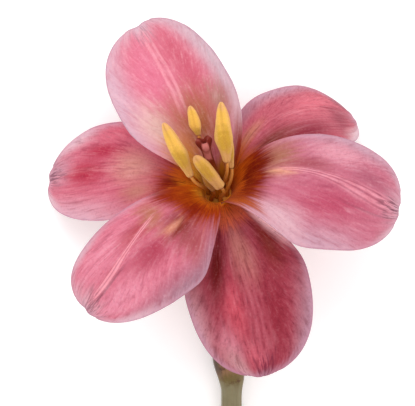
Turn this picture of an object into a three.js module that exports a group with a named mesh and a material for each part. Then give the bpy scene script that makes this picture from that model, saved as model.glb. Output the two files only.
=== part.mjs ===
// A single cut tulip in full bloom, lying on its stem. Millimetres, +Z up, the surface it lies on at z = 0.
// The stem runs along -Y and its neck lifts the open flower, so that the flower looks up and a little towards +Y.
// Six tepals in two whorls, six stamens of filament and anther, and the pistil stand on the stem's receptacle.
// Two outer tepals touch the surface with their tips, beside the stem, so the flower rests on three low places.
import * as THREE from "three";

// Where the middle of the receptacle's top stands, and the flower's axis there
const HEAD = new THREE.Vector3(-1.8, 53.3, 30.2);
const FLOWER_AXIS = new THREE.Vector3(-0.15, 0.69, 0.71).normalize();
const SEAT_GAP = 0.3; // between two pieces, one of which stands on the other
const TEPAL_LIFT = 0.85; // of a tepal's inner face above the receptacle, so that its outer face clears it too

// Directions across the flower's axis: ACROSS is to the right as seen from above, BACK is away from the stem
const RIGHT = new THREE.Vector3(1, 0, 0);
const ACROSS = RIGHT.clone().addScaledVector(FLOWER_AXIS, -FLOWER_AXIS.x).normalize();
const BACK = new THREE.Vector3().crossVectors(FLOWER_AXIS, ACROSS);

// Materials
const MATERIALS = {
  innerTepal: new THREE.MeshStandardMaterial({ color: 0xdb7f92, roughness: 0.55, metalness: 0 }),
  outerTepal: new THREE.MeshStandardMaterial({ color: 0xb9525f, roughness: 0.55, metalness: 0 }),
  anther: new THREE.MeshStandardMaterial({ color: 0xe0b430, roughness: 0.8, metalness: 0 }),
  filament: new THREE.MeshStandardMaterial({ color: 0xc98a4a, roughness: 0.6, metalness: 0 }),
  pistil: new THREE.MeshStandardMaterial({ color: 0x6b2a2c, roughness: 0.5, metalness: 0 }),
  stem: new THREE.MeshStandardMaterial({ color: 0x85805f, roughness: 0.6, metalness: 0 }),
};

// Stem: a straight run on the surface, then the neck, which widens twice, the second time into the receptacle.
// The spans are shares of the neck's length.
const STEM_RADIUS = 3.6;
const NECK_RADIUS = 5.2;
const RECEPTACLE_RADIUS = 7.0;
const NECK_WIDENS = [0.13, 0.28];
const RECEPTACLE_WIDENS = [0.86, 0.98];
const STEM_SIDES = 16;
const STEM_X = 3.0;
const CUT_END_Y = -113;
const NECK_START_Y = -27;
const NECK_ROUTE = [
  [STEM_X, -17, 3.76],
  [2.9, -9.5, 4.95],
  [1.5, -0.7, 6.0],
  [0.6, 13.3, 8.6],
  [-0.1, 33.3, 15.5],
];
const NECK_TAIL = 8; // length of neck that is straight under the receptacle
const NECK_STEPS = 18;

// Tepals. Their rows lie closer together at the foot and the tip. The spans are shares of a tepal's length.
const THICKNESS = 0.75;
const FOOT_HALF_WIDTH = 4.0;
const INNER = { footRadius: 4.5, footTurn: 52, material: MATERIALS.innerTepal };
const OUTER = { footRadius: 6.0, footTurn: 46, material: MATERIALS.outerTepal };
const FOOT_SPAN = [0, 0.16]; // where the blade goes from the receptacle's plane over to its midrib's
const FOOT_TURN_SPAN = [0.06, 0.36]; // where the turn of its foot gives way to the turn half way
const TIP_TURN_SPAN = [0.45, 1]; // where that gives way to the turn at the tip
const MIDDLE_ROLL_SPAN = [0.05, 0.4];
const TIP_ROLL_SPAN = [0.5, 1];
const TIP_SPAN = [0.85, 1]; // where the rows bend into the rounded and notched tip
const TIP_BULGE = 0.3; // of the last row, as a share of its half-width
const NOTCH_WIDTH = 0.3; // as a share of the same half-width
const ROWS = 20; // along a tepal
const COLUMNS = 12; // across it
const ROW_CROWDING = 0.07;

// Each tepal: its bearing round the axis; the two handles and the tip of its midrib, from the receptacle. Then, for
// its left and right side as seen from inside with the tip up: its half-width, the share of its length where it is
// widest, how slowly it widens from its foot, how full it stays towards the tip, its width at the tip as a share
// of the widest, and how far it turns towards the inside, in degrees, half way and at the tip. Last, how far the
// blade rolls round its midrib half way and at the tip, and the depth of its tip's notch.
const TEPALS = [
  {
    name: "tepal_inner_back", whorl: INNER, bearing: -15,
    rise: [-1, 20, 13], droop: [-14, 37.5, 9], tip: [-26.7, 56.5, -11.1],
    half: [22.5, 16.5], widest: [0.49, 0.48], slow: [1.5, 1.2], fullness: [2.2, 2.1], end: [0.3, 0.3],
    turn: [[20, 10], [34, 20]], roll: [0, 0], notch: 1.2,
  },
  {
    name: "tepal_outer_right", whorl: OUTER, bearing: 45,
    rise: [7, 15.5, 3], droop: [22, 36.5, -5], tip: [46, 27.5, -27.15],
    half: [12.5, 19.6], widest: [0.54, 0.6], slow: [1.2, 1.2], fullness: [2.6, 2.4], end: [0.3, 0.3],
    turn: [[10, 5], [-15, -5]], roll: [8, 12], notch: 0.3,
  },
  {
    name: "tepal_inner_right", whorl: INNER, bearing: 100.5,
    rise: [9, 9, 16], droop: [33, 12.5, 17], tip: [59.8, -4, -7],
    half: [14, 26.5], widest: [0.62, 0.46], slow: [1.2, 0.98], fullness: [3.8, 1.85], end: [0.45, 0.28],
    turn: [[20, 5], [8, 0]], roll: [30, 32], notch: 1.2,
  },
  {
    name: "tepal_outer_front", whorl: OUTER, bearing: 165,
    rise: [2.2, -8, 13], droop: [10.5, -34, 19], tip: [14.5, -58, 6],
    half: [21.5, 19.5], widest: [0.5, 0.5], slow: [1.2, 1.2], fullness: [2.2, 2.3], end: [0.3, 0.3],
    turn: [[-10, 0], [-10, 0]], roll: [0, 0], notch: 0.3,
  },
  {
    name: "tepal_inner_left", whorl: INNER, bearing: 231,
    rise: [-5, 1, 19], droop: [-27.7, -11.4, 22], tip: [-43.3, -36.7, 5],
    half: [24, 12.4], widest: [0.43, 0.68], slow: [1.75, 1.2], fullness: [1.8, 4], end: [0.25, 0.45],
    turn: [[5, 0], [10, 0]], roll: [-10, -10], notch: 1.2,
  },
  {
    name: "tepal_outer_left", whorl: OUTER, bearing: 285,
    rise: [-6, 6, 8], droop: [-34, 13, 5], tip: [-57.6, 6, -28.4],
    half: [18, 16], widest: [0.57, 0.45], slow: [1.2, 1.2], fullness: [2.1, 2], end: [0.3, 0.3],
    turn: [[-15, -5], [20, 10]], roll: [-14, -14], notch: 0.3,
  },
];

// Stamens: the bearing of each filament round the axis, the lower end and the tip of its anther, from the
// receptacle, the anther's greatest radius and the share of its length where it has it, and its bluntness
const STAMENS = [
  { bearing: -75, low: [-8.8, 6, 11], tip: [-18, 23.6, 21], radius: 2.35, widest: 0.5, bluntness: 1.8 },
  { bearing: -15, low: [-6.4, 19.4, 11.5], tip: [-9.3, 28.9, 17], radius: 1.9, widest: 0.4, bluntness: 1.8 },
  { bearing: 45, low: [2.8, 10.6, 13], tip: [0.7, 30.2, 24], radius: 2.7, widest: 0.4, bluntness: 1.8 },
  { bearing: 105, low: [4.4, 8.8, 7.2], tip: [1.8, 25, 12.6], radius: 1.7, widest: 0.4, bluntness: 1.8 },
  { bearing: 165, low: [0.9, 2.4, 13.5], tip: [-7.6, 12.3, 20], radius: 2.2, widest: 0.45, bluntness: 4 },
  { bearing: 225, low: [-1.6, 1.4, 6.9], tip: [-5.2, 7.6, 11.9], radius: 1.4, widest: 0.4, bluntness: 1.8 },
];
const FILAMENT_RING = 3.15; // radius of the ring on which the filaments stand
const FILAMENT_RADIUS = 0.75;
const FILAMENT_TAPER = 0.3;
const FILAMENT_SIDES = 8;
const FILAMENT_STEPS = 7;

// An anther's form, in shares of its greatest radius: its lower end, its end left over at the tip, how flat it is,
// and the groove down the side it opens on, whose width is in radians
const ANTHER_LOW_END = 0.5;
const ANTHER_TIP_END = 0.03;
const ANTHER_FLATNESS = 0.18;
const GROOVE_DEPTH = 0.22;
const GROOVE_WIDTH = 0.4;
const ANTHER_SIDES = 12;
const ANTHER_ROWS = 9;

// Pistil: ovary and stigma in one piece, on the flower's axis. The spans are shares of its length.
const PISTIL_LENGTH = 23;
const OVARY_RADIUS = 2.1;
const STIGMA_RADIUS = 3.1;
const OVARY_NARROWS = [0.45, 0.75];
const OVARY_NARROWING = 0.25;
const STIGMA_WIDENS = [0.78, 0.92];
const STIGMA_CLOSES = [0.94, 1];
const STIGMA_CLOSING = 0.45;
const LOBES_GROW = [0.75, 0.9];
const OVARY_LOBES = 0.06;
const STIGMA_LOBES = 0.26;
const PISTIL_SIDES = 18;
const PISTIL_ROWS = 14;

const RAD = Math.PI / 180;
const ALMOST_FLAT = 1e-6; // the turn of a side that doesn't turn, in radians

function point(xyz) {
  return new THREE.Vector3(...xyz);
}

function outward(bearing) {
  return BACK.clone().multiplyScalar(Math.cos(bearing * RAD)).addScaledVector(ACROSS, Math.sin(bearing * RAD));
}

// From 0 to 1 while x goes over the span
function ramp([from, to], x) {
  return THREE.MathUtils.smoothstep(x, from, to);
}

function evenShares(n) {
  return Array.from({ length: n + 1 }, (_, i) => i / n);
}

// Points and directions at shares of a curve's length. The directions turn no more than the curve does.
function frames(curve, shares, firstAcross) {
  let normal = new THREE.Vector3().crossVectors(firstAcross, curve.getTangentAt(shares[0]));
  return shares.map((u) => {
    const along = curve.getTangentAt(u);
    normal = normal.clone().addScaledVector(along, -normal.dot(along)).normalize();
    return { u, at: curve.getPointAt(u), along, normal, across: new THREE.Vector3().crossVectors(along, normal) };
  });
}

function body(positions, index) {
  const geometry = new THREE.BufferGeometry();
  geometry.setAttribute("position", new THREE.Float32BufferAttribute(positions, 3));
  geometry.setIndex(index);
  return geometry;
}

// A closed body through rings of points, with a cap at each end
function loft(rings) {
  const sides = rings[0].length;
  const positions = rings.flat().flatMap((p) => p.toArray());
  const index = [];
  for (let i = 0; i + 1 < rings.length; i++) {
    for (let k = 0; k < sides; k++) {
      const a = i * sides + k;
      const b = i * sides + ((k + 1) % sides);
      index.push(a, b + sides, b, a, a + sides, b + sides);
    }
  }
  const last = (rings.length - 1) * sides;
  for (let k = 1; k + 1 < sides; k++) index.push(0, k, k + 1, last, last + k + 1, last + k);
  return body(positions, index);
}

// A ring round a frame. Its radius may depend on the angle from the side that faces against the frame's normal.
function ring({ at, normal, across }, sides, radius) {
  return Array.from({ length: sides }, (_, k) => {
    const angle = (2 * Math.PI * (k + 0.5)) / sides;
    const r = radius(angle);
    return at.clone().addScaledVector(normal, -r * Math.cos(angle)).addScaledVector(across, r * Math.sin(angle));
  });
}

// Half-width of one side of a tepal at a share u of its length
function halfWidth(tepal, side, u) {
  const half = tepal.half[side];
  const widest = tepal.widest[side];
  if (u < widest) {
    const opening = Math.sin((Math.PI / 2) * (u / widest)) ** tepal.slow[side];
    return FOOT_HALF_WIDTH + (half - FOOT_HALF_WIDTH) * opening;
  }
  const closing = ((u - widest) / (1 - widest)) ** tepal.fullness[side];
  return half * Math.sqrt(1 - (1 - tepal.end[side] ** 2) * closing);
}

// How far one side of a tepal turns towards the inside at a share u of its length, in degrees
function sideTurn(tepal, side, u) {
  const [half, tip] = tepal.turn[side];
  const { footTurn } = tepal.whorl;
  return footTurn + (half - footTurn) * ramp(FOOT_TURN_SPAN, u) + (tip - half) * ramp(TIP_TURN_SPAN, u);
}

// The roll of a tepal's blade round its midrib, in degrees
function bladeRoll(tepal, u) {
  const [half, tip] = tepal.roll;
  return half * ramp(MIDDLE_ROLL_SPAN, u) + (tip - half) * ramp(TIP_ROLL_SPAN, u);
}

// The inner face of a tepal as rows of points. Its foot follows the receptacle's edge, and its blade the midrib.
function tepalFace(tepal) {
  const out = outward(tepal.bearing);
  const foot = out.clone().multiplyScalar(tepal.whorl.footRadius).addScaledVector(FLOWER_AXIS, TEPAL_LIFT);
  const midrib = new THREE.CubicBezierCurve3(foot, point(tepal.rise), point(tepal.droop), point(tepal.tip));
  const shares = evenShares(ROWS).map((s) => s - ROW_CROWDING * Math.sin(2 * Math.PI * s));
  const bulge = (TIP_BULGE * (halfWidth(tepal, 0, 1) + halfWidth(tepal, 1, 1))) / 2;
  return frames(midrib, shares, new THREE.Vector3().crossVectors(out, FLOWER_AXIS)).map((frame) => {
    const { u } = frame;
    const free = ramp(FOOT_SPAN, u);
    const along = FLOWER_AXIS.clone().lerp(frame.along, free).normalize();
    const rolled = frame.normal.clone().applyAxisAngle(frame.along, RAD * bladeRoll(tepal, u));
    const inward = out.clone().negate().lerp(rolled, free);
    inward.addScaledVector(along, -inward.dot(along)).normalize();
    const across = new THREE.Vector3().crossVectors(along, inward);
    return evenShares(COLUMNS).map((s) => {
      const v = 2 * s - 1;
      const side = v < 0 ? 0 : 1;
      const turn = RAD * sideTurn(tepal, side, u) || ALMOST_FLAT;
      const radius = halfWidth(tepal, side, u) / turn;
      const notch = tepal.notch * Math.exp(-((v / NOTCH_WIDTH) ** 2));
      return frame.at
        .clone()
        .addScaledVector(across, radius * Math.sin(v * turn))
        .addScaledVector(inward, radius * (1 - Math.cos(v * turn)))
        .addScaledVector(along, ramp(TIP_SPAN, u) * (bulge * (1 - v * v) ** 2 - notch));
    });
  });
}

// A closed blade between a face, given as rows of points, and the same face moved back along its normals
function blade(face, thickness) {
  const rows = face.length;
  const columns = face[0].length;
  const get = (i, j) => face[Math.min(rows - 1, Math.max(0, i))][Math.min(columns - 1, Math.max(0, j))];
  const back = face.map((row, i) =>
    row.map((p, j) => {
      const along = get(i + 1, j).clone().sub(get(i - 1, j));
      const across = get(i, j + 1).clone().sub(get(i, j - 1));
      return p.clone().addScaledVector(across.cross(along).normalize(), -thickness);
    }),
  );
  const toBack = rows * columns;
  const id = (i, j) => i * columns + j;
  const index = [];
  for (let i = 0; i + 1 < rows; i++) {
    for (let j = 0; j + 1 < columns; j++) {
      const [a, b, c, d] = [id(i, j), id(i, j + 1), id(i + 1, j + 1), id(i + 1, j)];
      index.push(a, b, c, a, c, d);
      index.push(a + toBack, c + toBack, b + toBack, a + toBack, d + toBack, c + toBack);
    }
  }
  const rim = [];
  for (let j = 0; j + 1 < columns; j++) rim.push(id(0, j));
  for (let i = 0; i + 1 < rows; i++) rim.push(id(i, columns - 1));
  for (let j = columns - 1; j > 0; j--) rim.push(id(rows - 1, j));
  for (let i = rows - 1; i > 0; i--) rim.push(id(i, 0));
  rim.forEach((a, k) => {
    const b = rim[(k + 1) % rim.length];
    index.push(b, a, a + toBack, b, a + toBack, b + toBack);
  });
  return body([...face, ...back].flat().flatMap((p) => p.toArray()), index);
}

// The radii below are those of the sides' middles, so the lowest side of the straight run lies on the surface
function stem() {
  const cutEnd = new THREE.Vector3(STEM_X, CUT_END_Y, STEM_RADIUS);
  const neckStart = new THREE.Vector3(STEM_X, NECK_START_Y, STEM_RADIUS);
  const tail = HEAD.clone().addScaledVector(FLOWER_AXIS, -NECK_TAIL);
  const neck = new THREE.CatmullRomCurve3([neckStart, ...NECK_ROUTE.map(point), tail, HEAD]);
  const sideRadius = (u) =>
    STEM_RADIUS +
    (NECK_RADIUS - STEM_RADIUS) * ramp(NECK_WIDENS, u) +
    (RECEPTACLE_RADIUS - NECK_RADIUS) * ramp(RECEPTACLE_WIDENS, u);
  const toCorner = 1 / Math.cos(Math.PI / STEM_SIDES);
  const straightFrames = frames(new THREE.LineCurve3(cutEnd, neckStart), [0, 0.5], RIGHT);
  const neckFrames = frames(neck, evenShares(NECK_STEPS), RIGHT);
  return loft([
    ...straightFrames.map((frame) => ring(frame, STEM_SIDES, () => STEM_RADIUS * toCorner)),
    ...neckFrames.map((frame) => ring(frame, STEM_SIDES, () => sideRadius(frame.u) * toCorner)),
  ]);
}

// A filament leaves the receptacle along the axis and ends under its anther
function filament({ bearing, low, tip }) {
  const foot = outward(bearing).multiplyScalar(FILAMENT_RING).addScaledVector(FLOWER_AXIS, SEAT_GAP);
  const into = point(tip).sub(point(low)).normalize();
  const end = point(low).addScaledVector(into, -SEAT_GAP);
  const reach = foot.distanceTo(end) / 3;
  const leaving = foot.clone().addScaledVector(FLOWER_AXIS, reach);
  const arriving = end.clone().addScaledVector(into, -reach);
  const route = new THREE.CubicBezierCurve3(foot, leaving, arriving, end);
  const radius = (u) => FILAMENT_RADIUS * (1 - FILAMENT_TAPER * u);
  const stations = frames(route, evenShares(FILAMENT_STEPS), ACROSS);
  return loft(stations.map((frame) => ring(frame, FILAMENT_SIDES, () => radius(frame.u))));
}

function anther({ low, tip, radius, widest, bluntness }) {
  const stations = frames(new THREE.LineCurve3(point(low), point(tip)), evenShares(ANTHER_ROWS), ACROSS);
  return loft(
    stations.map((frame) => {
      const beyond = Math.max(0, (frame.u - widest) / (1 - widest));
      const rising = ANTHER_LOW_END + (1 - ANTHER_LOW_END) * ramp([0, widest], frame.u);
      const width = rising * Math.sqrt(1 - (1 - ANTHER_TIP_END) * beyond ** bluntness);
      const flat = (angle) => 1 - ANTHER_FLATNESS * Math.cos(angle) ** 2;
      const groove = (angle) => GROOVE_DEPTH * Math.exp(-(((angle - Math.PI) / GROOVE_WIDTH) ** 2));
      return ring(frame, ANTHER_SIDES, (angle) => radius * width * (flat(angle) - groove(angle)));
    }),
  );
}

// The pistil is three-sided, and its stigma spreads in three lobes
function pistil() {
  const base = FLOWER_AXIS.clone().multiplyScalar(SEAT_GAP);
  const top = FLOWER_AXIS.clone().multiplyScalar(PISTIL_LENGTH);
  const stations = frames(new THREE.LineCurve3(base, top), evenShares(PISTIL_ROWS), ACROSS);
  return loft(
    stations.map((frame) => {
      const column = OVARY_RADIUS * (1 - OVARY_NARROWING * ramp(OVARY_NARROWS, frame.u));
      const spread = ramp(STIGMA_WIDENS, frame.u) * (1 - STIGMA_CLOSING * ramp(STIGMA_CLOSES, frame.u));
      const radius = column + (STIGMA_RADIUS - column) * spread;
      const lobes = OVARY_LOBES + (STIGMA_LOBES - OVARY_LOBES) * ramp(LOBES_GROW, frame.u);
      return ring(frame, PISTIL_SIDES, (angle) => radius * (1 - lobes + lobes * Math.cos(3 * angle)));
    }),
  );
}

function mesh(name, geometry, material) {
  const made = new THREE.Mesh(geometry, material);
  made.name = name;
  return made;
}

const flower = new THREE.Group();
flower.position.copy(HEAD);
for (const tepal of TEPALS) flower.add(mesh(tepal.name, blade(tepalFace(tepal), THICKNESS), tepal.whorl.material));
STAMENS.forEach((stamen, i) => {
  flower.add(mesh(`filament_${i + 1}`, filament(stamen), MATERIALS.filament));
  flower.add(mesh(`anther_${i + 1}`, anther(stamen), MATERIALS.anther));
});
flower.add(mesh("pistil", pistil(), MATERIALS.pistil));

const tulip = new THREE.Group();
tulip.add(mesh("stem", stem(), MATERIALS.stem), flower);
export default tulip;
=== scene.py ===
import math

import bpy
import numpy as np
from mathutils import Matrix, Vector


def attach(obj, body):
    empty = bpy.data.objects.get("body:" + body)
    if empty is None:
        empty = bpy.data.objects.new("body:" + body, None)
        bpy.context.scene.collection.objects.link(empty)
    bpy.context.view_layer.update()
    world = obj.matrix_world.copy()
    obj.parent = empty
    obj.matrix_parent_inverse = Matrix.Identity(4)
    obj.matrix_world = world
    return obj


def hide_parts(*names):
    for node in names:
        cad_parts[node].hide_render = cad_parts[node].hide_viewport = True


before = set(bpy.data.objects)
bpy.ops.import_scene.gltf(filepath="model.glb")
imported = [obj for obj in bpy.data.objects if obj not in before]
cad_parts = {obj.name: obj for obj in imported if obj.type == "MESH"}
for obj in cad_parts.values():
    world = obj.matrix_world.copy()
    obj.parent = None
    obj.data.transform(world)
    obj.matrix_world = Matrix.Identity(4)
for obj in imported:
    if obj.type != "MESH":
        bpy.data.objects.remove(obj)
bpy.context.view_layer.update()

MM = 0.001  # metres in a millimetre; the forms below are made in millimetres

# The flower's head and axis and the rules of the tepals' forms are those of the CAD source.
HEAD = np.array([-1.8, 53.3, 30.2])


def unit(v):
    v = np.asarray(v, float)
    return v / np.linalg.norm(v, axis=-1, keepdims=True)


FLOWER_AXIS = unit([-0.15, 0.69, 0.71])
RIGHT = np.array([1.0, 0.0, 0.0])
ACROSS = unit(RIGHT - FLOWER_AXIS * FLOWER_AXIS[0])
BACK = np.cross(FLOWER_AXIS, ACROSS)
SEAT_GAP = 0.3

# Camera and light, in millimetres
CAMERA_FROM_HEAD = np.array([-3.5, -2.6, 600.0])
SENSOR_WIDTH = 36.0
PHOTO_WIDTH_AT_HEAD = 415 * 0.33
FLOOR_SIZE = 3000.0
FLOOR_GLOW = 0.2
FLOOR_COLOUR = (250, 249, 249)
CAMERA_CLIP = (0.01, 20)  # metres
WORLD_STRENGTH = 0.95
LIGHTS = [
    dict(name="main", place=(-150, 650, 750), size=700, watts=3.0),
    dict(name="fill", place=(450, -450, 800), size=900, watts=2.0),
]
FLESH_DEPTH = 0.0006  # metres that light goes into plant tissue

# Tepals
TEPAL_LIFT = 0.85
THICKNESS = 0.75
RIM_THICKNESS = 0.3
RIM_WIDTH = 4.0
BACK_STARTS = 0.8
RIB_PLACE = 0.9
RIB_WIDTH = 0.45
RIB_HEIGHT = 0.16
VEIN_HEIGHT = 0.05
SWELL_HEIGHT = 0.18
MARGIN_WAVE = 0.45
KEEL_WIDTH = 1.1
KEEL_HEIGHT = 0.35
FOOT_HALF_WIDTH = 4.0
FOOT_SPAN = (0, 0.16)
FOOT_TURN_SPAN = (0.06, 0.36)
TIP_TURN_SPAN = (0.45, 1)
MIDDLE_ROLL_SPAN = (0.05, 0.4)
TIP_ROLL_SPAN = (0.5, 1)
TIP_SPAN = (0.85, 1)
TIP_BULGE = 0.3
NOTCH_WIDTH = 0.3
SOLID_ROWS = 20
ROW_CROWDING = 0.07
ALMOST_FLAT = 1e-6
ROWS = 110
COLUMNS = 160

# What the tepals of one whorl share
WHORLS = {
    "inner_tepal": dict(foot_radius=4.5, foot_turn=52, notch=1.2),
    "outer_tepal": dict(foot_radius=6.0, foot_turn=46, notch=0.3),
}
TEPALS = [
    dict(
        name="tepal_inner_back", slot="inner_tepal", bearing=-15,
        rise=(-1, 20, 13), droop=(-14, 37.5, 9), tip=(-26.7, 56.5, -11.1),
        half=(22.5, 16.5), widest=(0.49, 0.48), slow=(1.5, 1.2), fullness=(2.2, 2.1), end=(0.3, 0.3),
        turn=((20, 10), (34, 20)), roll=(0, 0),
    ),
    dict(
        name="tepal_outer_right", slot="outer_tepal", bearing=45,
        rise=(7, 15.5, 3), droop=(22, 36.5, -5), tip=(46, 27.5, -27.15),
        half=(12.5, 19.6), widest=(0.54, 0.6), slow=(1.2, 1.2), fullness=(2.6, 2.4), end=(0.3, 0.3),
        turn=((10, 5), (-15, -5)), roll=(8, 12),
    ),
    dict(
        name="tepal_inner_right", slot="inner_tepal", bearing=100.5,
        rise=(9, 9, 16), droop=(33, 12.5, 17), tip=(59.8, -4, -7),
        half=(14, 26.5), widest=(0.62, 0.46), slow=(1.2, 0.98), fullness=(3.8, 1.85), end=(0.45, 0.28),
        turn=((20, 5), (8, 0)), roll=(30, 32),
    ),
    dict(
        name="tepal_outer_front", slot="outer_tepal", bearing=165,
        rise=(2.2, -8, 13), droop=(10.5, -34, 19), tip=(14.5, -58, 6),
        half=(21.5, 19.5), widest=(0.5, 0.5), slow=(1.2, 1.2), fullness=(2.2, 2.3), end=(0.3, 0.3),
        turn=((-10, 0), (-10, 0)), roll=(0, 0),
    ),
    dict(
        name="tepal_inner_left", slot="inner_tepal", bearing=231,
        rise=(-5, 1, 19), droop=(-27.7, -11.4, 22), tip=(-43.3, -36.7, 5),
        half=(24, 12.4), widest=(0.43, 0.68), slow=(1.75, 1.2), fullness=(1.8, 4), end=(0.25, 0.45),
        turn=((5, 0), (10, 0)), roll=(-10, -10),
    ),
    dict(
        name="tepal_outer_left", slot="outer_tepal", bearing=285,
        rise=(-6, 6, 8), droop=(-34, 13, 5), tip=(-57.6, 6, -28.4),
        half=(18, 16), widest=(0.57, 0.45), slow=(1.2, 1.2), fullness=(2.1, 2), end=(0.3, 0.3),
        turn=((-15, -5), (20, 10)), roll=(-14, -14),
    ),
]

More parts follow.
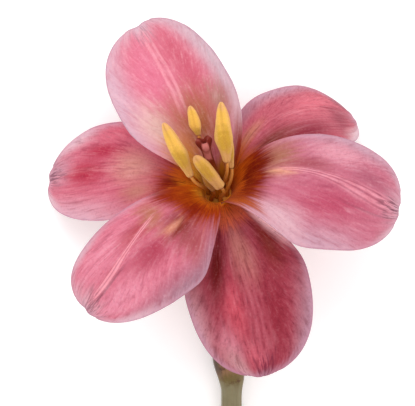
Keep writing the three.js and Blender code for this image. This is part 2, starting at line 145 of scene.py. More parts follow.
# Painting of the tepals' inner faces. Each stroke is a soft oval: its colour, its middle along the tepal and
# across it, its half-length and half-width, and how far it slants to the side on its way, if it does. The
# blotch at the foot has strokes of its own. What a tepal's own paint leaves out comes from the first table.
COMMON_PAINT = dict(
    midrib=(0, 0, 0), barbs=(0.1, 0.4), rim_width=2.2, rim_strength=0.5, fan=1,
    crease=(0, 0, 0), blotch_strokes=[],
)
PAINT = {
    "tepal_inner_back": dict(
        body=(210, 115, 135), blotch=(165, 75, 25), foot=(210, 130, 40),
        edge=(0.2, 0.1, 0.2), edge_softness=0.05,
        strokes=[
            ((205, 170, 185), 0.65, -1.05, 0.8, 0.7),  # pale left side
            ((200, 180, 190), 0.6, 1, 0.9, 0.55),  # pale right side
            ((210, 190, 200), 1.05, 0, 0.2, 1.6),  # pale tip
            ((215, 115, 140), 0.7, -0.3, 0.4, 0.5),  # warm pink left of the midrib
            ((200, 95, 115), 0.65, 0.35, 0.4, 0.45),  # rose right of it
            ((220, 180, 175), 0.4, -0.6, 0.25, 0.4),  # pale cheek below
            ((165, 100, 60), 0.35, 0, 0.3, 0.8),  # tan over the stamens
            ((170, 120, 110), 0.4, 0.6, 0.15, 0.35),  # dusky to the right
            ((215, 145, 45), 0.2, -0.6, 0.2, 0.6, 0.5),  # golden low down
        ],
        blotch_strokes=[
            ((145, 45, 20), 0.2, 0.95, 0.15, 0.35),  # dark by the right margin, painted shadow where the outer right tepal meets it
            ((240, 170, 60), 0.1, -0.8, 0.15, 0.5),  # golden on the left
            ((205, 130, 30), 0.1, 0.4, 0.1, 0.35),  # and between the stamens
        ],
        midrib=(-0.12, -0.045, 0.005), lines=(0.11, 0.1), lines_start=(0.38, 0.5), line=(234, 160, 172),
        line_strength=0.42, furrow=(205, 112, 130), furrow_strength=0.5, vein=(178, 62, 84),
        pale=(250, 205, 212), streaks=(0.34, 0.2), lean=(1.2, 2.0), band=(0.075, 0.3),
        rim=(206, 165, 180), tip=(150, 104, 118), tip_strength=0.5, fan=1.4, crease=(0.1, 0.0, 0.0),
    ),
    "tepal_inner_right": dict(
        body=(190, 105, 125), blotch=(120, 25, 5), foot=(185, 80, 10),
        edge=(0.25, 0.25, 0.15), edge_softness=0.05,
        strokes=[
            ((190, 150, 165), 0.7, -1, 0.5, 0.45),  # lilac left side
            ((215, 145, 160), 0.6, -0.6, 0.25, 0.4),  # pink cheek
            ((190, 150, 165), 0.45, 1.05, 0.5, 0.6),  # pale right side
            ((180, 75, 100), 0.6, 0.35, 0.35, 0.4),  # rose right of the midrib
            ((165, 85, 95), 0.45, -0.25, 0.2, 0.3),  # dusky rose left of it
            ((170, 90, 110), 0.8, -0.3, 0.2, 0.35),  # dusky towards the tip
            ((165, 105, 85), 0.3, -0.5, 0.15, 0.8),  # tan over the blotch
            ((225, 160, 130), 0.3, -0.05, 0.15, 0.15),  # salmon flame at the midrib
            ((210, 165, 175), 0.3, 0.75, 0.2, 0.5),  # lilac low on the right
            ((205, 175, 185), 1.1, 0, 0.25, 1.6),  # pale tip
            ((215, 200, 205), 1.05, 1.05, 0.25, 0.4),  # paler at its right corner
            ((210, 190, 200), 1.05, -1.05, 0.2, 0.45),  # and left corner
        ],
        blotch_strokes=[
            ((105, 15, 0), 0.2, -0.45, 0.1, 0.6),  # darkest on the left
            ((105, 15, 0), 0.15, -0.1, 0.05, 0.9),
            ((170, 75, 20), 0.15, 0.8, 0.1, 0.4),  # brown on the right
        ],
        midrib=(-0.055, 0.018, 0.11), lines=(0.085, 0.052), lines_start=(0.27, 0.36),
        line=(226, 146, 160), line_strength=0.5, furrow=(158, 74, 94), furrow_strength=0.6,
        vein=(140, 48, 72), pale=(246, 198, 208), streaks=(0.42, 0.16), barbs=(0.08, 0.35),
        lean=(1.75, 0.8), band=(0.1, 0.35), rim=(204, 156, 172), tip=(112, 62, 78), tip_strength=0.85,
        fan=2.8, crease=(0.3, 0.42, 0.3),
    ),
    "tepal_inner_left": dict(
        body=(205, 110, 130), blotch=(150, 45, 5), foot=(210, 105, 10),
        edge=(0.2, 0.25, 0.35), edge_softness=0.05,
        strokes=[
            ((150, 110, 125), 0.45, -1, 0.6, 0.5),  # lilac left side
            ((220, 135, 155), 0.8, -0.5, 0.3, 0.4),  # pink above it
            ((170, 65, 85), 0.5, -0.25, 0.25, 0.3),  # rose left of the midrib
            ((220, 130, 150), 0.75, 0.5, 0.35, 0.6),  # bright pink right of it
            ((180, 80, 90), 0.5, 0.25, 0.2, 0.4),  # rose under the bright pink
            ((175, 105, 85), 0.4, 0.4, 0.1, 0.8),  # tan over the blotch
            ((165, 80, 85), 0.3, -0.6, 0.15, 0.4),  # dusky low on the left
            ((125, 45, 30), 0.3, -0.2, 0.15, 0.45),  # red-brown in the middle
            ((205, 135, 110), 0.35, -0.15, 0.1, 0.1),  # salmon flame
            ((215, 185, 195), 0.8, 1.05, 0.25, 0.3),  # pale margins
            ((215, 185, 195), 0.85, -1.05, 0.3, 0.3),
            ((215, 175, 185), 1.05, 0.2, 0.2, 1.6),  # pale tip
            ((180, 125, 140), 1, -0.4, 0.05, 0.8),  # dusky notch
        ],
        blotch_strokes=[
            ((130, 25, 5), 0.25, 0.7, 0.15, 0.7),  # dark along the right of the edge
            ((130, 30, 5), 0.2, -0.2, 0.1, 0.55),  # and in the middle
            ((145, 50, 5), 0.2, 0.5, 0.15, 0.8),
            ((255, 180, 50), 0.05, 0.6, 0.1, 0.7),  # golden foot
        ],
        midrib=(0.25, 0.02, -0.06), lines=(0.085, 0.055), lines_start=(0.36, 0.45),
        line=(238, 156, 168), line_strength=0.5, furrow=(165, 76, 94), furrow_strength=0.5,
        vein=(150, 48, 72), pale=(250, 200, 210), streaks=(0.42, 0.18), lean=(1.75, 0.9),
        band=(0.09, 0.5), rim=(208, 160, 176), tip=(124, 70, 84), tip_strength=0.6, fan=1.3,
        crease=(-0.1, -0.19, 0.55),
    ),
    "tepal_outer_front": dict(
        body=(155, 60, 75), blotch=(210, 100, 70), foot=(250, 125, 40),
        edge=(0.1, 0.15, 0.1), edge_softness=0.05,
        strokes=[
            ((170, 130, 145), 0.75, -1.05, 0.45, 0.5),  # lilac left side
            ((195, 145, 155), 0.6, 1.05, 0.5, 0.5),  # and right side
            ((195, 115, 130), 0.8, 0.5, 0.2, 0.4),  # paler pink beside it
            ((140, 40, 55), 0.65, -0.4, 0.4, 0.35),  # deep red left of the middle
            ((190, 75, 90), 0.6, 0.25, 0.3, 0.3),  # coral right of it
            ((175, 105, 100), 0.3, -0.1, 0.3, 0.35),  # grey-pink up the middle
            ((120, 35, 25), 0.3, -0.65, 0.25, 0.3, 0.5),  # maroon left of it, painted shadow cast by the inner right tepal's edge
            ((100, 15, 10), 0.35, 0.4, 0.3, 0.25, 0.5),  # and right
            ((255, 205, 210), 0.2, -1, 0.2, 0.3),  # pale edge at the foot
            ((190, 135, 140), 0.95, 0.6, 0.2, 0.4),  # pale beside the tip
            ((190, 85, 100), 0.9, 0.1, 0.15, 0.35),  # coral in it
            ((100, 20, 40), 1, -0.1, 0.1, 0.5),  # dark mark at its end
        ],
        midrib=(-0.07, -0.1, -0.1), lines=(0.16, 0.08), lines_start=(0.3, 0.5), line=(215, 115, 130),
        line_strength=0.14, furrow=(140, 36, 54), furrow_strength=0.2, vein=(100, 20, 36),
        pale=(232, 158, 168), streaks=(0.6, 0.14), barbs=(0.25, 0.6), lean=(1.6, 1.75),
        band=(0.16, 0.12), rim=(190, 142, 162), rim_width=2.5, rim_strength=0.6, tip=(124, 44, 66),
        tip_strength=0.7, fan=2.0,
    ),
    "tepal_outer_left": dict(
        body=(200, 100, 120), blotch=(165, 60, 20), foot=(230, 135, 30),
        edge=(0.2, 0.25, 0.15), edge_softness=0.1,
        strokes=[
            ((215, 160, 175), 0.7, -0.95, 0.5, 0.55),  # pale left side
            ((175, 40, 65), 0.7, -0.05, 0.25, 0.45),  # crimson arch
            ((175, 45, 70), 0.6, 0.4, 0.2, 0.3),  # falling to the right
            ((210, 100, 120), 0.5, 0.8, 0.2, 0.35),  # coral beside it
            ((195, 140, 155), 0.95, 0.2, 0.2, 0.9),  # greyed pink towards the tip
            ((220, 185, 195), 0.8, 0.95, 0.25, 0.45),  # pale right margin
            ((205, 140, 130), 0.4, 0.05, 0.2, 0.6),  # tan-pink in the middle
            ((190, 120, 110), 0.35, -0.5, 0.15, 0.35),  # dusky beside it
            ((140, 95, 105), 1, 0.75, 0.1, 0.6),  # greyish right end
            ((225, 205, 210), 1, -1.05, 0.2, 0.5),  # pale left corner
        ],
        blotch_strokes=[
            ((125, 25, 10), 0.2, -0.35, 0.1, 0.45),  # dark on the left
            ((215, 105, 35), 0.15, 0.15, 0.1, 0.35),  # orange at the right
        ],
        lines=(0.07, 0.05), lines_start=(0.3, 0.4), line=(228, 150, 158), line_strength=0.12,
        furrow=(170, 65, 85), furrow_strength=0.15, vein=(140, 42, 62), pale=(246, 190, 198),
        streaks=(0.5, 0.14), lean=(0.6, 1.4), band=(0.1, 0.1), rim=(212, 165, 182), rim_width=2.5,
        rim_strength=0.6, tip=(112, 66, 84), tip_strength=0.75,
    ),
    "tepal_outer_right": dict(
        body=(185, 90, 105), blotch=(190, 90, 20), foot=(205, 100, 15),
        edge=(0.1, 0.2, 0), edge_softness=0.1,
        strokes=[
            ((185, 145, 160), 0.55, -1, 0.4, 0.5),  # pale left side
            ((165, 110, 125), 0.35, -0.9, 0.2, 0.45),  # duller below
            ((210, 105, 120), 0.75, -0.3, 0.3, 0.6, -1.5),  # coral across the middle
            ((150, 65, 80), 0.85, 0.3, 0.15, 0.6, -3),  # dusky under the tip
            ((140, 50, 65), 0.55, 0.55, 0.3, 0.45),  # deep red on the right
            ((115, 45, 35), 0.3, 0.35, 0.3, 0.4),  # red-brown below it
            ((195, 130, 105), 0.25, -0.25, 0.2, 0.3),  # tan over the foot
            ((180, 120, 135), 1, 0.4, 0.1, 0.8),  # paler tip
            ((225, 205, 210), 0.95, 1, 0.25, 0.5),  # palest at its right
            ((125, 60, 70), 1, -0.75, 0.15, 0.6),  # dusky at its left
        ],
        lines=(0.07, 0.05), lines_start=(0.4, 0.5), line=(228, 140, 150), line_strength=0.1,
        furrow=(170, 70, 90), furrow_strength=0.15, vein=(130, 36, 56), pale=(240, 178, 188),
        streaks=(0.5, 0.16), lean=(3.0, 0.3), band=(0.1, 0.1), rim=(192, 145, 162), rim_strength=0.6,
        tip=(120, 62, 78), tip_strength=0.2,
    ),
}

TEPAL_SHARP_ANGLE = 50

# Streaks in the blotches
BLOTCH_VEIN = (88, 16, 2)
BLOTCH_PALE = (222, 112, 8)

# The thin dusky line along the margins
RIM_LINE = (150, 104, 122)
RIM_LINE_STRENGTH = 0.36

# How far the midrib's line wanders, and where a place across counts as near it, from far to near
MIDRIB_WANDER = 0.006
NEAR_MIDRIB = (0.5, 0.12)

# Depths under the blotch's edge over which its dark colour turns into the foot's
BLOTCH_FADE = (0.04, 0.16)

# The tepals' outsides
BACKS = {
    "inner_tepal": dict(
        side=(226, 158, 170), flame=(190, 112, 122), foot=(196, 178, 112),
        vein=(172, 84, 102), keel=(226, 190, 160),
    ),
    "outer_tepal": dict(
        side=(200, 126, 138), flame=(146, 78, 84), foot=(152, 142, 88),
        vein=(120, 50, 66), keel=(184, 138, 118),
    ),
}

# Stamens
# The last value darkens a stamen hidden among the others with painted shade
COMMON_STAMEN = dict(widest=0.4, bluntness=1.8, low_end=0.5, reach=0.955, painted_shade=0)
STAMENS = [
    dict(
        bearing=-75, low=(-8.8, 6, 11), tip=(-18, 23.6, 21), radius=2.5, widest=0.45,
        twist=0.5, swell=(0.4, 90, 0.12), tan=(0.05, 0.3), olive=(0.42, 0.62),
    ),
    dict(
        bearing=-15, low=(-6.4, 19.4, 11.5), tip=(-9.3, 28.9, 17), radius=1.9,
        twist=-0.6, swell=(0.3, -90, 0.1), tan=(0.0, 0.2), olive=(0.1, 0.4),
    ),
    dict(
        bearing=45, low=(2.8, 10.6, 13), tip=(0.7, 30.2, 24), radius=2.7,
        twist=0.7, swell=(0.42, -90, 0.28), tan=(0.1, 0.3), olive=(0.5, 0.75),
    ),
    dict(
        bearing=105, low=(4.4, 8.8, 7.2), tip=(1.8, 25, 12.6), radius=1.7,
        twist=0.4, swell=(0.5, 90, 0.1), tan=(0.1, 0.3), olive=(0.4, 0.7),
        reach=0.97,
    ),
    dict(
        bearing=165, low=(0.9, 2.4, 13.5), tip=(-7.6, 12.3, 20), radius=2.2, widest=0.45, bluntness=4,
        low_end=0.82, twist=-0.4, swell=(0.6, 90, 0.06), tan=(0.26, 0.46), olive=(0.62, 0.95),
        reach=1, painted_shade=0.25,
    ),
    dict(
        bearing=225, low=(-1.6, 1.4, 6.9), tip=(-5.2, 7.6, 11.9), radius=1.4,
        twist=0.5, swell=(0.5, -90, 0.1), tan=(0.1, 0.3), olive=(0.42, 0.68),
        reach=1, painted_shade=0.75,
    ),
]
FILAMENT_RING = 3.15
FILAMENT_RADIUS = 0.75
FILAMENT_TAPER = 0.3
FILAMENT_FLARE = 0.2
FILAMENT_ROWS = 48
FILAMENT_SIDES = 28
FILAMENT_OVAL = 0.06
FILAMENT_RIBS = 0.03
FLARE_LENGTH = 0.1
ANTHER_TIP_END = 0.03
ANTHER_FLATNESS = 0.18
GROOVE_DEPTH = 0.15
GROOVE_WIDTH = 0.5
SLIT_DEPTH = 0.09
SLIT_WIDTH = 0.13
ANTHER_UNEVENNESS = 0.035
LOW_END_ROUNDING = 0.05
SWELL_LENGTH = 0.16
SWELL_WIDTH = 0.9
ANTHER_ROWS = 90
ANTHER_SIDES = 96

# Pistil: its outline as heights up the flower's axis and radii, from its foot over the stigma into its hollow
PISTIL_OUTLINE = [
    (0.3, 2.2), (4, 2.3), (9.5, 2.1), (14.5, 1.75), (18, 1.6), (19.4, 1.9), (20.4, 2.6), (21.3, 3.15),
    (22.1, 3.2), (22.7, 2.75), (22.75, 2.1), (22.2, 1.3), (21.6, 0.5), (21.4, 0.05),
]
PISTIL_ROWS = 130
PISTIL_SIDES = 90
STIGMA_HEIGHT = 19.0
PISTIL_HEIGHT = 22.7
LOBE_TURN = math.radians(168)
STIGMA_LEAN = np.array([-1.4, 2.0, 0.0])
LEAN_BEND = 1.3
OVARY_LOBES = 0.06
STIGMA_LOBES = 0.27
LOBE_CREASE = 0.16
LOBE_CREASE_WIDTH = 0.2
LOBE_DROP = 0.7
STIGMA_RISE = 2
HOLLOW_SPAN = (0.72, 1.0)  # shares of the rows from the rim into the hollow

# The stamens' tones end with the colour of their painted shade
FILAMENT_TONES = dict(
    low=(190, 106, 18), high=(216, 144, 66), fibre=(156, 78, 16), blush=(222, 164, 92), painted_shade=(150, 76, 12),
)
ANTHER_TONES = dict(
    foot=(220, 160, 92), olive=(208, 156, 42), yellow=(248, 190, 80), tip=(234, 168, 122),
    side=(246, 186, 104), hollow=(186, 142, 34), clump=(236, 196, 60), crumb=(190, 118, 34),
    grain=(255, 218, 124), groove=(190, 122, 40), slit=(190, 108, 42), painted_shade=(164, 98, 20),
)
PISTIL_TONES = dict(
    foot=(186, 106, 16), ovary=(140, 66, 8), neck=(116, 36, 2), blotch=(88, 20, 0), flush=(188, 106, 98),
    stigma=(116, 34, 26), crest_and_highlight=(194, 112, 106), hollow=(96, 22, 10), down=(206, 126, 110),
)
# On the neck, flush and fleck are stains that are partly painted shadow of the tepal above, and its darkest
# tone is painted shadow
STEM_TONES = dict(
    green=(118, 109, 78), bloom=(134, 125, 94), fibre=(98, 91, 60), wax=(160, 153, 122),
    neck_start=(104, 86, 36), neck=(142, 104, 72), neck_top=(128, 118, 78), neck_right=(116, 100, 60),
    flush=(76, 36, 20), fleck=(84, 44, 24), painted_shadow=(62, 46, 36), neck_fibre=(86, 66, 34),
    under_flower=(190, 116, 40), receptacle=(244, 152, 30), receptacle_speck=(214, 116, 12),
    pith=(178, 184, 128), pith_middle=(212, 212, 172), vessel=(128, 132, 74),
)
VESSELS_PER_MM = 1.5

# Stem
STEM_RADIUS = 3.6
NECK_RADIUS = 5.2
RECEPTACLE_RADIUS = 7.0
NECK_WIDENS = (0.13, 0.28)
RECEPTACLE_WIDENS = (0.86, 0.98)
STEM_X = 3.0
CUT_END_Y = -113
NECK_START_Y = -27
NECK_ROUTE = [(STEM_X, -17, 3.76), (2.9, -9.5, 4.95), (1.5, -0.7, 6.0), (0.6, 13.3, 8.6), (-0.1, 33.3, 15.5)]
NECK_TAIL = 8
STEM_SIDES = 72
RUN_ROWS = 90
NECK_ROWS = 120
STEM_RIB_DEPTH = 0.06
STEM_RIBS = 11
SHEATH_START = 102.0
SHEATH_WAVE = 1.1
SHEATH_HEIGHT = 0.14
SHEATH_HEM = (-1.2, 1.4)
SHEATH_FADES = (0.75, 0.9)
STEM_SHARP_ANGLE = 60

# The cut face and the receptacle's top: shares of the radius, with depths under the end in millimetres
CUT_FACE = [
    (0.02, 0.55), (0.12, 0.5), (0.2, 0.35), (0.34, 0.12),
    (0.6, 0.05), (0.84, 0.02), (0.93, 0.0), (0.98, 0.06),
]
RECEPTACLE_TOP = [(0.985, -0.55), (0.95, -0.8), (0.6, -0.8), (0.57, -0.25), (0.3, -0.25), (0.02, -0.25)]


# Forms


def ramp(span, x):
    t = np.clip((np.asarray(x, float) - span[0]) / (span[1] - span[0]), 0, 1)
    return t * t * (3 - 2 * t)


def outward(bearing):
    angle = math.radians(bearing)
    return BACK * math.cos(angle) + ACROSS * math.sin(angle)


def bezier(points):
    p = [np.asarray(q, float) for q in points]

    def at(t):
        t = np.asarray(t, float)[..., None]
        s = 1 - t
        return s**3 * p[0] + 3 * s * s * t * p[1] + 3 * s * t * t * p[2] + t**3 * p[3]

    return at


def line(start, end):
    start = np.asarray(start, float)
    end = np.asarray(end, float)

    def at(t):
        t = np.asarray(t, float)[..., None]
        return start * (1 - t) + end * t

    return at


def smooth_route(points):
    """The centripetal curve through the points that the CAD source uses for the neck."""
    p = [np.asarray(q, float) for q in points]
    p = [2 * p[0] - p[1], *p, 2 * p[-1] - p[-2]]
    pieces = []
    for a, b, c, d in zip(p, p[1:], p[2:], p[3:]):
        ab, bc, cd = (np.sqrt(np.linalg.norm(q)) for q in (b - a, c - b, d - c))
        start = ((b - a) / ab - (c - a) / (ab + bc) + (c - b) / bc) * bc
        end = ((c - b) / bc - (d - b) / (bc + cd) + (d - c) / cd) * bc
        pieces.append((b, start, -3 * b + 3 * c - 2 * start - end, 2 * b - 2 * c + start + end))
    table = np.array(pieces)

    def at(t):
        t = np.asarray(t, float) * len(table)
        k = np.clip(t.astype(int), 0, len(table) - 1)
        s = (t - k)[..., None]
        c = table[k]
        return c[..., 0, :] + c[..., 1, :] * s + c[..., 2, :] * s**2 + c[..., 3, :] * s**3

    return at


def by_length(curve):
    """Points and directions of a curve at shares of its length, and that length."""
    t = np.linspace(0, 1, 401)
    steps = np.linalg.norm(np.diff(curve(t), axis=0), axis=1)
    length = np.concatenate([[0], np.cumsum(steps)])

    def at(u):
        return curve(np.interp(np.asarray(u) * length[-1], length, t))

    def along(u):
        m = np.interp(np.asarray(u) * length[-1], length, t)
        return unit(curve(np.minimum(m + 1e-4, 1)) - curve(np.maximum(m - 1e-4, 0)))

    return at, along, length[-1]


def square_to(v, direction):
    return unit(v - direction * np.sum(v * direction, axis=-1, keepdims=True))


def frames(curve, shares, first_across, solid_shares=None):
    """Points, directions and normals at shares of a curve's length.

    The normals are carried on from one share of the solid to the next, as in the CAD source, and turned onto
    the finer rows between.
    """
    solid_shares = shares if solid_shares is None else solid_shares
    at, along, length = by_length(curve)
    directions = along(solid_shares)
    normal = np.cross(first_across, directions[0])
    normals = []
    for direction in directions:
        normal = square_to(normal, direction)
        normals.append(normal)
    last = np.clip(np.searchsorted(solid_shares, shares, side="right") - 1, 0, len(solid_shares) - 1)
    directions = along(shares)
    return at(shares), directions, square_to(np.array(normals)[last], directions), length


def crowded(rows):
    s = np.linspace(0, 1, rows + 1)
    return s - ROW_CROWDING * np.sin(2 * np.pi * s)


def waves(x, y, seed, rough=(1, 2, 4), share=(1, 0.6, 0.35)):
    """A soft irregular height between about -1 and 1 over x and y."""
    draw = np.random.default_rng(seed)
    total = 0
    for scale, weight in zip(rough, share):
        for _ in range(3):
            turn = draw.uniform(0, 2 * np.pi)
            phase = draw.uniform(0, 2 * np.pi)
            stretch = draw.uniform(0.7, 1.3) * scale
            way = x * math.cos(turn) + y * math.sin(turn)
            total = total + weight * np.sin(stretch * way * 2 * np.pi + phase)
    return total / (1.5 * sum(share))


def half_width(tepal, side, u):
    half = tepal["half"][side]
    widest = tepal["widest"][side]
    opening = np.sin(np.pi / 2 * np.minimum(u / widest, 1)) ** tepal["slow"][side]
    closing = np.clip((u - widest) / (1 - widest), 0, 1) ** tepal["fullness"][side]
    closed = half * np.sqrt(1 - (1 - tepal["end"][side] ** 2) * closing)
    return np.where(u < widest, FOOT_HALF_WIDTH + (half - FOOT_HALF_WIDTH) * opening, closed)


def side_turn(tepal, side, u):
    half, tip = tepal["turn"][side]
    foot = tepal["foot_turn"]
    degrees = foot + (half - foot) * ramp(FOOT_TURN_SPAN, u) + (tip - half) * ramp(TIP_TURN_SPAN, u)
    return np.radians(degrees)


def blade_roll(tepal, u):
    half, tip = tepal["roll"]
    return np.radians(half * ramp(MIDDLE_ROLL_SPAN, u) + (tip - half) * ramp(TIP_ROLL_SPAN, u))


def tepal_face(tepal, u, v):
    """The inner face as rows of points, the half-width at each, and the midrib's length."""
    out = outward(tepal["bearing"])
    foot = out * tepal["foot_radius"] + FLOWER_AXIS * TEPAL_LIFT
    midrib = bezier((foot, tepal["rise"], tepal["droop"], tepal["tip"]))
    at, direction, normal, length = frames(midrib, u, np.cross(out, FLOWER_AXIS), crowded(SOLID_ROWS))
    free = ramp(FOOT_SPAN, u)[:, None]
    along = unit(FLOWER_AXIS * (1 - free) + direction * free)
    roll = blade_roll(tepal, u)[:, None]
    rolled = normal * np.cos(roll) + np.cross(direction, normal) * np.sin(roll)
    inward = square_to(-out * (1 - free) + rolled * free, along)
    across = np.cross(along, inward)
    left = v[None, :] < 0
    turn = np.where(left, side_turn(tepal, 0, u)[:, None], side_turn(tepal, 1, u)[:, None])
    turn = np.where(np.abs(turn) < ALMOST_FLAT, ALMOST_FLAT, turn)
    width = np.where(left, half_width(tepal, 0, u)[:, None], half_width(tepal, 1, u)[:, None])
    radius = width / turn
    bulge = TIP_BULGE * (half_width(tepal, 0, 1.0) + half_width(tepal, 1, 1.0)) / 2
    notch = tepal["notch"] * np.exp(-((v / NOTCH_WIDTH) ** 2))
    lengthen = ramp(TIP_SPAN, u)[:, None] * (bulge * (1 - v * v) ** 2 - notch)[None, :]
    points = (
        at[:, None]
        + across[:, None] * (radius * np.sin(v * turn))[..., None]
        + inward[:, None] * (radius * (1 - np.cos(v * turn)))[..., None]
        + along[:, None] * lengthen[..., None]
    )
    return points, width, length


def face_normals(face):
    along = np.gradient(face, axis=0)
    across = np.gradient(face, axis=1)
    return unit(np.cross(across, along))


def margin_distance(u, v, width, length):
    """Millimetres from a tepal's free edge, smooth where side and tip meet."""
    side = (1 - np.abs(v))[None, :] * width
    end = (1 - u)[:, None] * length + 0 * side
    return side * end / np.maximum(side + end, 1e-6)


def tepal_relief(u, v, width, seed):
    """Height in millimetres of the veins, the two ribs of the midrib and the soft waves of the margin."""
    u = u[:, None]
    v = v[None, :]
    sideways = v * width
    ribs = np.exp(-(((np.abs(sideways) - RIB_PLACE) / RIB_WIDTH) ** 2))
    ribs = ribs * ramp((0.15, 0.35), u) * (1 - ramp((0.8, 1), u))
    spread = v / (0.5 + 0.6 * u)
    veins = waves(spread * 6.5, u * 0.35, seed)
    broad = waves(spread * 1.3, u * 0.6, seed + 1, rough=(1,), share=(1,))
    margin = waves(u * 2.2, np.sign(v) * 0.8, seed + 2, rough=(1, 2), share=(1, 0.4)) * np.abs(v) ** 3
    body = ramp((0.12, 0.35), u)
    waved = margin * ramp((0.3, 0.55), u) * (1 - ramp((0.7, 0.92), u))
    return body * (RIB_HEIGHT * ribs + VEIN_HEIGHT * veins + SWELL_HEIGHT * broad + MARGIN_WAVE * waved)


def keel(u, v, width):
    """Extra thickness in millimetres along the middle of the outside."""
    across = np.exp(-((v[None, :] * width / KEEL_WIDTH) ** 2))
    return KEEL_HEIGHT * across * (ramp((0, 0.12), u) * (1 - ramp((0.55, 0.95), u)))[:, None]


def new_object(name, points, faces, smooth=True):
    mesh = bpy.data.meshes.new(name)
    faces = faces if isinstance(faces, list) else faces.tolist()
    mesh.from_pydata((np.asarray(points) * MM).tolist(), [], faces)
    mesh.update()
    if smooth:
        mesh.shade_smooth()
    made = bpy.data.objects.new(name, mesh)
    bpy.context.scene.collection.objects.link(made)
    return made


def set_values(made, name, values):
    attribute = made.data.attributes.new(name=name, type="FLOAT", domain="POINT")
    attribute.data.foreach_set("value", np.asarray(values, np.float32).ravel())


def blade(face, back):
    """Points and faces of a closed blade between two grids."""
    rows, columns = face.shape[:2]
    count = rows * columns
    i, j = np.meshgrid(np.arange(rows - 1), np.arange(columns - 1), indexing="ij")
    a = (i * columns + j).ravel()
    quads = np.stack([a, a + 1, a + columns + 1, a + columns], 1)
    behind = quads[:, ::-1] + count
    rim = list(range(columns - 1))
    rim += [i * columns + columns - 1 for i in range(rows - 1)]
    rim += [(rows - 1) * columns + j for j in range(columns - 1, 0, -1)]
    rim += [i * columns for i in range(rows - 1, 0, -1)]
    rim = np.array(rim)
    following = np.roll(rim, -1)
    edge = np.stack([following, rim, rim + count, following + count], 1)
    points = np.concatenate([face.reshape(-1, 3), back.reshape(-1, 3)])
    return points, np.concatenate([quads, behind, edge])


def dress(made, node, slot, material):
    made.data.materials.append(material)
    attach(made, "root")
    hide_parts(node)


def make_tepal(tepal, seed):
    u = crowded(ROWS)
    v = np.linspace(-1, 1, COLUMNS + 1)
    face, width, length = tepal_face(tepal, u, v)
    normal = face_normals(face)
    margin = margin_distance(u, v, width, length)
    face = face + normal * tepal_relief(u, v, width, seed)[..., None]
    thickness = RIM_THICKNESS + (THICKNESS - RIM_THICKNESS) * ramp((0, RIM_WIDTH), margin)
    thickness = thickness + keel(u, v, width)
    back = face - face_normals(face) * thickness[..., None]
    points, faces = blade(face + HEAD, back + HEAD)
    made = new_object(tepal["name"] + "_petal", points, faces)
    made.data.set_sharp_from_angle(angle=math.radians(TEPAL_SHARP_ANGLE))
    grid = np.ones(face.shape[:2])
    for name, values in (("along", u[:, None] * grid), ("across", v[None, :] * grid), ("margin", margin)):
        set_values(made, name, np.concatenate([values.ravel(), values.ravel()]))
    behind = ramp((0, BACK_STARTS), margin)
    set_values(made, "outside", np.concatenate([0 * grid.ravel(), behind.ravel()]))
    dress(made, tepal["name"], tepal["slot"], tepal_material(tepal, seed))


def loft(rings):
    """Points and faces of a closed body through rings of points, with a cap at each end."""
    rings = np.asarray(rings)
    count, sides = rings.shape[:2]
    i, k = np.meshgrid(np.arange(count - 1), np.arange(sides), indexing="ij")
    a = (i * sides + k).ravel()
    b = (i * sides + (k + 1) % sides).ravel()
    quads = np.stack([a, a + sides, b + sides, b], 1).tolist()
    start = list(range(sides))
    end = [(count - 1) * sides + k for k in range(sides - 1, -1, -1)]
    return rings.reshape(-1, 3), quads + [start, end]


def rings_round(at, direction, normal, radius, angle):
    across = np.cross(direction, normal)
    return (
        at[:, None]
        - normal[:, None] * (radius * np.cos(angle))[..., None]
        + across[:, None] * (radius * np.sin(angle))[..., None]
    )


def angles(sides):
    return (2 * np.pi * (np.arange(sides) + 0.5) / sides)[None, :]


def tube(curve, shares, sides, first_across, radius):
    """A loft round a curve, with the share of the length and the angle of each point."""
    at, direction, normal, _ = frames(curve, shares, first_across)
    angle = angles(sides)
    r = radius(shares[:, None], angle)
    points, faces = loft(rings_round(at, direction, normal, r, angle))
    grid = np.ones(r.shape)
    return points, faces, (shares[:, None] * grid).ravel(), (angle * grid).ravel()


def dip(angle, middle, width):
    """A soft dip round one angle, whole at its middle and gone a few widths away."""
    away = (angle - middle + np.pi) % (2 * np.pi) - np.pi
    return np.exp(-((away / width) ** 2))


def make_filament(stamen, number):
    low = np.asarray(stamen["low"], float)
    foot = outward(stamen["bearing"]) * FILAMENT_RING + FLOWER_AXIS * SEAT_GAP
    into = unit(np.asarray(stamen["tip"], float) - low)
    end = low - into * SEAT_GAP
    reach = np.linalg.norm(foot - end) / 3
    route = bezier((foot, foot + FLOWER_AXIS * reach, end - into * reach, end))

    def radius(u, angle):
        flare = 1 + FILAMENT_FLARE * np.exp(-u / FLARE_LENGTH)
        ribs = 1 + FILAMENT_OVAL * np.cos(2 * angle) + FILAMENT_RIBS * np.cos(5 * angle + 4 * u)
        return FILAMENT_RADIUS * (1 - FILAMENT_TAPER * u) * flare * ribs

    rows = np.linspace(0, 1, FILAMENT_ROWS)
    points, faces, along, turn = tube(route, rows, FILAMENT_SIDES, ACROSS, radius)
    made = new_object(f"filament_{number}_stalk", points + HEAD, faces)
    set_values(made, "along", along)
    set_values(made, "turn", turn)
    dress(made, f"filament_{number}", "filament", filament_material(stamen, number))


